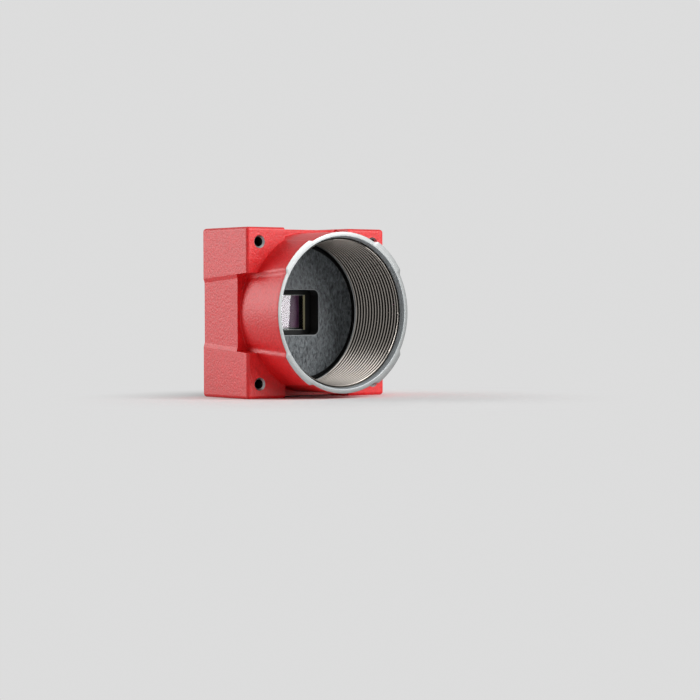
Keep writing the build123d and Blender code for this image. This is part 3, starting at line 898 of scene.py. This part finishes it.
# Boards: two green circuit boards with a solder mask, joined by a small plug and socket.
# They are held by two steel screws on hexagonal brass spacers, and keep their CAD form inside the body.
solder_mask, tree, shader = new_material("green_solder_mask")
shader.inputs["Roughness"].default_value = 0.35
place = tree.nodes.new("ShaderNodeTexCoord")
tracks = tree.nodes.new("ShaderNodeTexBrick")
tracks.inputs["Scale"].default_value = 900
tracks.inputs["Mortar Size"].default_value = 0.12
tracks.inputs["Color1"].default_value = (0.008, 0.075, 0.030, 1)
tracks.inputs["Color2"].default_value = (0.010, 0.085, 0.034, 1)
tracks.inputs["Mortar"].default_value = (0.020, 0.130, 0.050, 1)
turn = tree.nodes.new("ShaderNodeMapping")
turn.inputs["Rotation"].default_value = (math.pi / 2, 0, 0)
bump = tree.nodes.new("ShaderNodeBump")
bump.inputs["Distance"].default_value = 0.00002
tree.links.new(place.outputs["Object"], turn.inputs["Vector"])
tree.links.new(turn.outputs["Vector"], tracks.inputs["Vector"])
tree.links.new(tracks.outputs["Color"], shader.inputs["Base Color"])
tree.links.new(tracks.outputs["Fac"], bump.inputs["Height"])
tree.links.new(bump.outputs["Normal"], shader.inputs["Normal"])
screw_steel = plain_material("plated_screw_steel", (0.42, 0.42, 0.41), (0.52, 0.52, 0.51), 0.32, 1.0)
brass = plain_material("nickel_plated_brass", (0.50, 0.46, 0.36), (0.60, 0.55, 0.43), 0.3, 1.0)
chip_epoxy = plain_material("chip_epoxy", (0.012, 0.012, 0.013), (0.022, 0.022, 0.024), 0.5)
black_plastic = plain_material("connector_plastic", (0.010, 0.010, 0.011), (0.018, 0.018, 0.019), 0.45)
capacitor_body = plain_material("capacitor_ceramic", (0.30, 0.19, 0.10), (0.40, 0.27, 0.15), 0.4)
can_metal = plain_material("crystal_can", (0.52, 0.52, 0.50), (0.62, 0.62, 0.60), 0.28, 1.0)
pad_foam = plain_material("thermal_pad", (0.22, 0.30, 0.36), (0.28, 0.37, 0.44), 0.8)
rubber = plain_material("gasket_rubber", (0.012, 0.012, 0.012), (0.022, 0.022, 0.022), 0.7)
lamp_body = plain_material("lamp_white", (0.70, 0.70, 0.66), (0.78, 0.78, 0.74), 0.4)
for node, finish in (
    ("sensor_board", solder_mask),
    ("main_board", solder_mask),
    ("sensor_board_capacitors", capacitor_body),
    ("main_board_capacitors", capacitor_body),
    ("board_header", black_plastic),
    ("board_socket", black_plastic),
    ("board_spacers", brass),
    ("board_screws", screw_steel),
    ("processor", chip_epoxy),
    ("memory_chip", chip_epoxy),
    ("power_inductors", chip_epoxy),
    ("clock_crystal", can_metal),
    ("thermal_pad", pad_foam),
    ("rear_gasket", rubber),
    ("status_led", lamp_body),
):
    finish_node(node, finish)


# Rear cover: a second zinc casting with a matt black coat, whose hump makes room for the sockets.
# Its flange is screwed into the housing's nest, and the sockets' mouths are cut through its back.
cover_play, hump_height, hump_width, hump_cut, hump_wall = 0.10, 3.1, 23.6, 3.9, 1.0
flange, flange_rounding, hump_rounding, mouth_rounding = body_rear - cover_seat, 0.12, 0.40, 0.08
cover_width, cover_face = cover_opening - 2 * cover_play, body_rear + hump_height
hump_ceiling, hump_front, inner_depth = cover_face - hump_wall, body_rear - 0.9, 5
cover = block("back_cover", (cover_width, flange, cover_width), (0, body_rear - flange / 2, 0))
cut_corners(cover, cover_corner - cover_play, 6)
soften(cover, flange_rounding, segments=2)
hump = block(
    "hump", (hump_width, cover_face - hump_front, hump_width), (0, (cover_face + hump_front) / 2, 0)
)
cut_corners(hump, hump_cut)
soften(hump, hump_rounding, segments=4, angle=40)
combine(cover, [hump], "UNION")
inner_width = hump_width - 2 * hump_wall
inner = block("inner", (inner_width, inner_depth, inner_width), (0, hump_ceiling - inner_depth / 2, 0))
cut_corners(inner, hump_cut - hump_wall * (2 - math.sqrt(2)))
lock_reach, usb_drop, io_rise, lamp_offset = 9.25, 4.6, 7.9, 8.6
lock_radius, lock_boss_width, lock_boss_rise = 0.80, 3.2, 0.1
boss_size = (lock_boss_width, short_cut, lock_boss_width)
bosses = [
    block("boss", boss_size, (side * lock_reach, hump_ceiling + lock_boss_rise, -usb_drop))
    for side in (-1, 1)
]
combine(inner, bosses, "DIFFERENCE")
sink_radius, sink_floor_radius, sink_depth, sink_rise = 1.62, 0.66, 1.3, 0.1
cuts = [inner]
for x in (-1, 1):
    for z in (-1, 1):
        spot = (x * cover_screw_reach, z * cover_screw_reach)
        cuts.append(drum(
            "countersink",
            sink_floor_radius,
            body_rear - sink_depth,
            body_rear + sink_rise,
            spot,
            rear_radius=sink_radius,
        ))
usb_width, usb_height, usb_step_width, usb_step = 12.3, 2.4, 4.3, 0.5
link_inset, link_share = 0.9, 0.4
usb_back, socket_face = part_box("usb_shell")[0].y / mm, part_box("usb_shell")[1].y / mm
split = usb_width / 2 - usb_step_width - usb_step
usb_parts = (
    ((split - usb_step - usb_width / 2) / 2, split - usb_step + usb_width / 2),
    ((usb_width - usb_step_width) / 2, usb_step_width),
)


def usb_form(name, margin, front, rear):
    """The stepped outline of the socket between two depths: two boxes with slanted lower corners."""
    tall = usb_height + 2 * margin
    length, centre = rear - front, (front + rear) / 2
    link_low = usb_step - margin * link_share
    link_size = (usb_width + 2 * margin - link_inset, length, tall - link_low)
    link = block(name, link_size, (0, centre, -usb_drop + link_low / 2))
    halves = []
    for middle, width in usb_parts:
        half = block(name, (width + 2 * margin, length, tall), (middle, centre, -usb_drop))
        slanted = (-1, 1) if middle < 0 else (-1,)
        for side in slanted:
            edge = middle + side * (width / 2 + margin)

            def low_corner(a, b):
                return along_axis(a, b) and abs(a.x - edge) < hair and a.z < -usb_drop

            pick(half, low_corner, "edges")
            bpy.ops.mesh.bevel(offset=usb_step, segments=1)
            finish_edit()
        halves.append(half)
    return combine(link, halves, "UNION")


socket_play, lamp_play, mouth_cut = 0.20, 0.03, 4
io_width, io_height, lamp_width, lamp_height = 10.0, 3.4, 1.0, 2.0
io_size = (io_width + 2 * socket_play, mouth_cut, io_height + 2 * socket_play)
lamp_size = (lamp_width + 2 * lamp_play, mouth_cut, lamp_height + 2 * lamp_play)
usb_mouth = usb_form("usb_mouth", socket_play, hump_ceiling - past, cover_face + past)
io_mouth = block("io_mouth", io_size, (0, cover_face, io_rise))
lamp_mouth = block("lamp_mouth", lamp_size, (lamp_offset, cover_face, 0))
lock_holes = [
    drum("lock_hole", lock_radius, hump_ceiling - 2 * past, cover_face + past, (side * lock_reach, -usb_drop))
    for side in (-1, 1)
]
combine(cover, cuts + [usb_mouth, io_mouth, lamp_mouth] + lock_holes, "DIFFERENCE")
soften(cover, mouth_rounding, segments=2, angle=60)
cover_black = plain_material(
    "black_powder_coat", (0.012, 0.012, 0.013), (0.026, 0.026, 0.028), 0.5, 0.0, 3000, 0.00004
)
settle(cover, "rear_cover", [cover_black])


# Rear cover screws: four countersunk steel screws with hexagonal sockets, flush with the flange.
# Each is cold-headed, rolled and plated; the four are copies of one.
screw_radius, screw_head_radius, screw_length, screw_rounding = 0.67, 1.5, 3.97, 0.06
screw_head, shank_lap, drive_radius, drive_depth = 1.2, 0.2, 0.66, 0.7
head_front = body_rear - screw_head
screw = drum("cover_screws", screw_radius, head_front, body_rear, rear_radius=screw_head_radius)
shank = drum("shank", screw_radius, body_rear - screw_length, head_front + shank_lap)
combine(screw, [shank], "UNION")
soften(screw, screw_rounding, segments=2)
drive = drum("drive", drive_radius, body_rear - drive_depth, body_rear + past, steps=6)
combine(screw, [drive], "DIFFERENCE")
copies = []
for x, z in ((-1, -1), (-1, 1), (1, -1), (1, 1)):
    bpy.ops.object.select_all(action="DESELECT")
    screw.select_set(True)
    bpy.context.view_layer.objects.active = screw
    bpy.ops.object.duplicate()
    copy = bpy.context.object
    copy.location = (x * cover_screw_reach, 0, z * cover_screw_reach)
    bpy.ops.object.transform_apply(location=True, rotation=True, scale=True)
    copies.append(copy)
bpy.data.objects.remove(screw)
settle(join(copies, "cover_screws"), "rear_cover_screws", [screw_steel])


# USB socket: a drawn steel shell with the stepped mouth, round a black insulator with gold strips.
# The shell is folded and plated; insulator and contacts are moulded and pressed into it.
sheet, sheet_rounding = 0.25, 0.05
shell = usb_form("usb_sleeve", 0.0, usb_back, socket_face)
combine(shell, [usb_form("hollow", -sheet, usb_back - past, socket_face + past)], "DIFFERENCE")
soften(shell, sheet_rounding, segments=2, angle=60)
shell_steel = plain_material("plated_shell_steel", (0.50, 0.50, 0.49), (0.60, 0.60, 0.59), 0.26, 1.0)
settle(shell, "usb_shell", [shell_steel])
finish_node("usb_insulator", black_plastic)
finish_node("usb_contacts", gold)


# Trigger and power socket: a moulded black shroud with eight square gold pins in its floor.
# The shroud stands on the main board and reaches up to the cover's mouth.
finish_node("io_shroud", black_plastic)
finish_node("io_pins", gold)


# Light pipe: a clear moulded bar that brings the status lamp's light to the cover's face.
# It stands just over the lamp and a hair proud of the cover, with rounded edges.
pipe_low, pipe_high = (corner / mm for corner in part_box("light_pipe"))
pipe = block("lamp_light_pipe", pipe_high - pipe_low, (pipe_low + pipe_high) / 2)
pipe_rounding = 0.08
soften(pipe, pipe_rounding, segments=2)
frosted, tree, shader = new_material("frosted_clear_plastic")
shader.inputs["IOR"].default_value = 1.49
shader.inputs["Transmission Weight"].default_value = 0.85
grain = add_grain(tree, shader, 6000, 0.000004)
tint(tree, shader, grain.outputs["Mask"], (0.82, 0.84, 0.84), (0.88, 0.90, 0.90))
shader.inputs["Roughness"].default_value = 0.25
settle(pipe, "light_pipe", [frosted])
